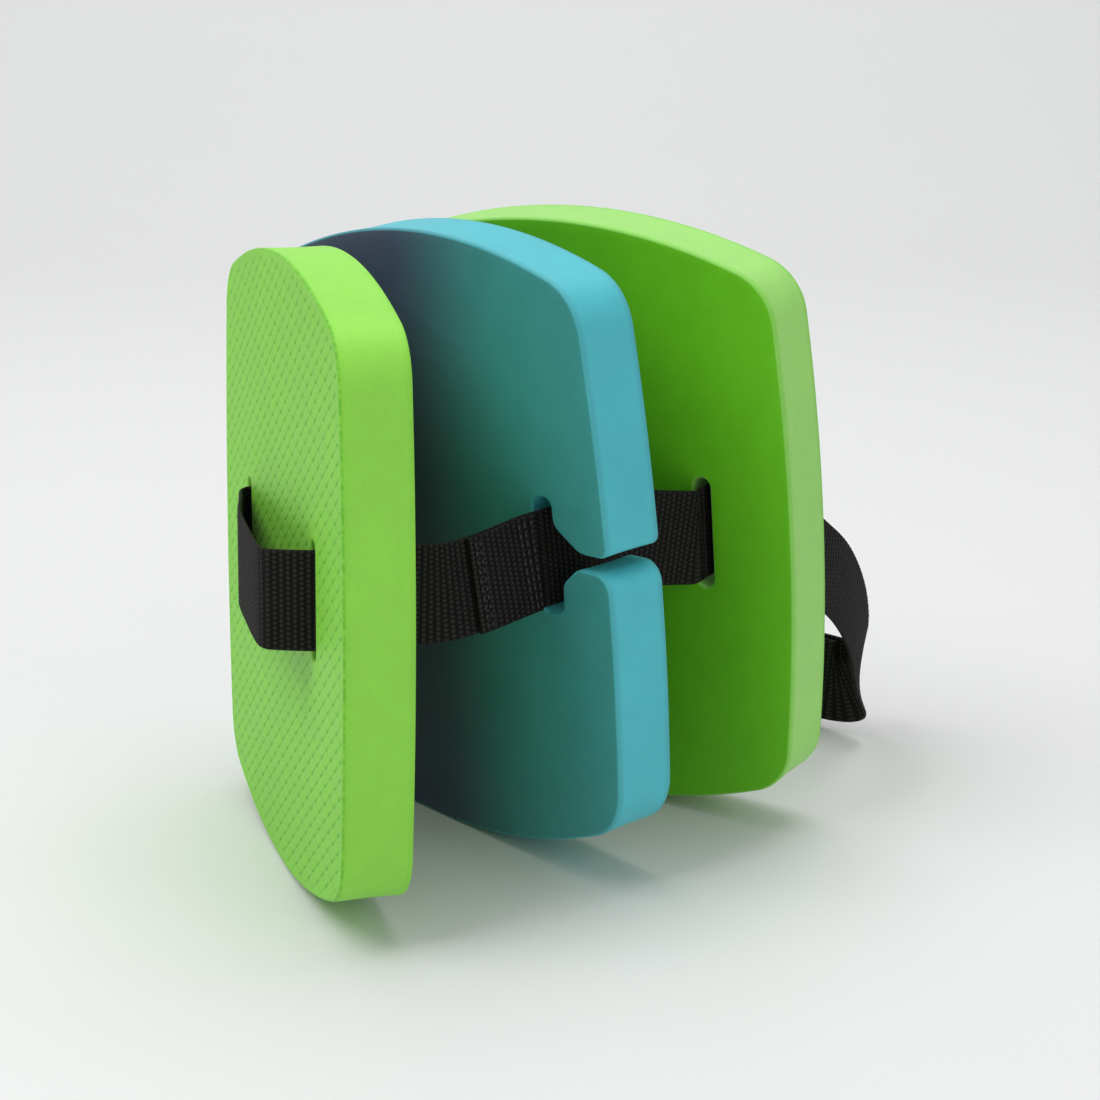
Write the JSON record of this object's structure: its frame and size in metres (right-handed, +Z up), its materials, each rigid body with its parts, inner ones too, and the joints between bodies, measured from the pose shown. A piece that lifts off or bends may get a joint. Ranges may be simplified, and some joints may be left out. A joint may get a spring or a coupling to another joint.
{
  "type": "swim back float",
  "caption": "Swim back float: upright foam slabs threaded side by side on a webbing belt with a side release buckle, fanned open like a book.",
  "frame": {"origin": "centre of the bounding box's footprint, on the surface that the floats stand on", "axes": "+Z up along the standing floats; the floats fan out with their edges towards -Y, front float at -X, and the waist loop behind the rear float at +X and +Y"},
  "size_m": [0.2759, 0.3355, 0.2457],
  "materials": {
    "green_foam": "closed-cell EVA foam, satin skin, cut edges",
    "blue_foam": "closed-cell EVA foam, satin skin, cut edges",
    "black_webbing": "ribbed polypropylene webbing",
    "black_elastic": "woven elastic",
    "black_acetal": "fine-textured moulded acetal"
  },
  "bodies": {
    "rear": {"rear_float": "green_foam", "far_webbing_rear_slot": "black_webbing", "waist_webbing_near": "black_webbing", "waist_webbing_far": "black_webbing", "near_webbing_rear_gap": "black_webbing", "far_webbing_rear_gap": "black_webbing", "buckle_female": "black_acetal"},
    "middle": {"middle_float": "blue_foam", "near_webbing_middle_slot": "black_webbing", "far_webbing_middle_slot": "black_webbing", "near_webbing_front_gap": "black_webbing", "far_webbing_front_gap": "black_webbing", "webbing_lap": "black_webbing"},
    "front": {"front_float": "green_foam", "bridge_webbing": "black_webbing"},
    "adjuster": {"buckle_male": "black_acetal", "adjuster_webbing": "black_webbing"},
    "prong_upper": {"prong_upper": "black_acetal"},
    "prong_lower": {"prong_lower": "black_acetal"},
    "keeper": {"keeper": "black_elastic"}
  },
  "joints": [
    {"name": "middle_fold", "type": "hinge", "parent": "rear", "child": "middle", "pos_m": [-0.0684, 0.1023, 0.1189], "axis": [0.2058, 0.0806, 0.9753], "range_deg": [-8, 16.2], "deforming": ["near_webbing_rear_gap", "far_webbing_rear_gap"]},
    {"name": "front_fold", "type": "hinge", "parent": "middle", "child": "front", "pos_m": [-0.1358, 0.0261, 0.1405], "axis": [0.013, -0.2083, 0.978], "range_deg": [-8, 22.7], "deforming": ["near_webbing_front_gap", "webbing_lap", "far_webbing_front_gap"]},
    {"name": "buckle_unplug", "type": "slide", "parent": "rear", "child": "adjuster", "axis": [-0.8271, 0.5621, 0], "range_m": [0, 0.042], "deforming": ["prong_upper", "prong_lower", "waist_webbing_far"]},
    {"name": "prong_upper_squeeze", "type": "hinge", "parent": "adjuster", "child": "prong_upper", "pos_m": [0.0752, 0.1089, 0.0405], "axis": [0.5621, 0.8271, 0], "range_deg": [0, 7], "stiffness_Nm_per_rad": 1},
    {"name": "prong_lower_squeeze", "type": "hinge", "parent": "adjuster", "child": "prong_lower", "pos_m": [0.0752, 0.1089, 0.0095], "axis": [-0.5621, -0.8271, 0], "range_deg": [0, 7], "stiffness_Nm_per_rad": 1},
    {"name": "keeper_slide", "type": "slide", "parent": "adjuster", "child": "keeper", "axis": [0.8271, -0.5621, 0], "range_m": [-0.016, 0.016]}
  ],
  "couplings": [
    {"joint": "prong_lower_squeeze", "follows": "prong_upper_squeeze", "ratio": 1}
  ]
}
